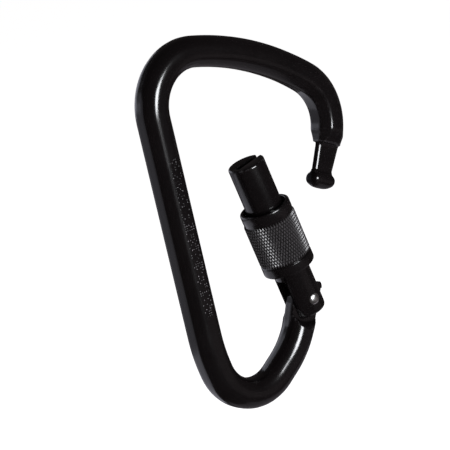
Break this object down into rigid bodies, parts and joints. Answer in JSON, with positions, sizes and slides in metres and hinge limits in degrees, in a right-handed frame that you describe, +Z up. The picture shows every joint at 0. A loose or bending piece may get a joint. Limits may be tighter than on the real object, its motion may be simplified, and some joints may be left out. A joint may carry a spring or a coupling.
{
  "type": "locking carabiner",
  "caption": "Pear-shaped locking carabiner: a bent alloy bar with a hinged, spring-loaded barrel gate and a knurled screw sleeve that runs up to lock the gate on the nose.",
  "frame": {"origin": "the point inside the top bend where the rope bears, midway through the bar's thickness", "axes": "+Z up along the straight spine, which is the loaded side; +X from the spine towards the gate; -Y is the front face"},
  "size_m": [0.0751, 0.0166, 0.1167],
  "materials": {
    "anodised_frame": "black anodised, satin gloss",
    "anodised_gate": "black anodised, turned, satin gloss",
    "anodised_sleeve": "black anodised, diamond knurl",
    "rivet_steel": "bright stainless, domed",
    "plunger_steel": "turned steel",
    "spring_steel": "drawn spring wire"
  },
  "bodies": {
    "frame": {"frame": "anodised_frame"},
    "gate": {"gate": "anodised_gate", "hinge_rivet": "rivet_steel", "gate_spring": "spring_steel"},
    "sleeve": {"locking_sleeve": "anodised_sleeve"},
    "plunger": {"plunger": "plunger_steel"}
  },
  "joints": [
    {"name": "gate_hinge", "type": "hinge", "parent": "frame", "child": "gate", "pos_m": [0.02382, 0, -0.08055], "axis": [0, 1, 0], "range_deg": [0, 39.5], "stiffness_Nm_per_rad": 0.26, "springref_deg": 65.89},
    {"name": "sleeve_travel", "type": "slide", "parent": "gate", "child": "sleeve", "axis": [-0.2113, 0, 0.9774], "range_m": [0, 0.0175]},
    {"name": "plunger_slide", "type": "slide", "parent": "gate", "child": "plunger", "axis": [0.2113, 0, -0.9774], "range_m": [0, 0.0009], "deforming": ["gate_spring"]}
  ],
  "couplings": [
    {"joint": "plunger_slide", "follows": "gate_hinge", "m_per_rad": 0.0012744}
  ]
}
